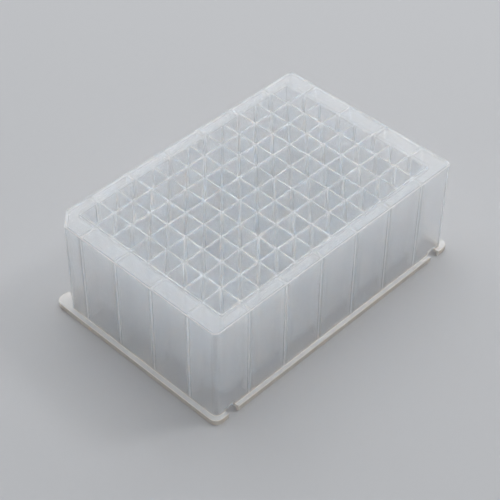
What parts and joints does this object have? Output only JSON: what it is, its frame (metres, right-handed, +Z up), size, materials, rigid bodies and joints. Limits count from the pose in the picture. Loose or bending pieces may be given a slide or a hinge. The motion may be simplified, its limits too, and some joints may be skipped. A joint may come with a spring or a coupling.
{
  "type": "deep well plate",
  "caption": "Rectangular moulded laboratory plate with a grid of deep square wells with rounded ends, a ribbed skirt and a stacking foot.",
  "frame": {"origin": "centre of the footprint, on the surface that the plate stands on", "axes": "+X along the long side from column 1 to column 12, +Y along the short side towards row A, +Z up out of the wells; the cut corner beside well A1 is at (-X, +Y)"},
  "size_m": [0.1278, 0.0854, 0.044],
  "materials": {
    "polypropylene": "natural translucent polypropylene, satin, with a faint moulded grain"
  },
  "bodies": {
    "root": {"well_plate": "polypropylene"}
  },
  "joints": []
}
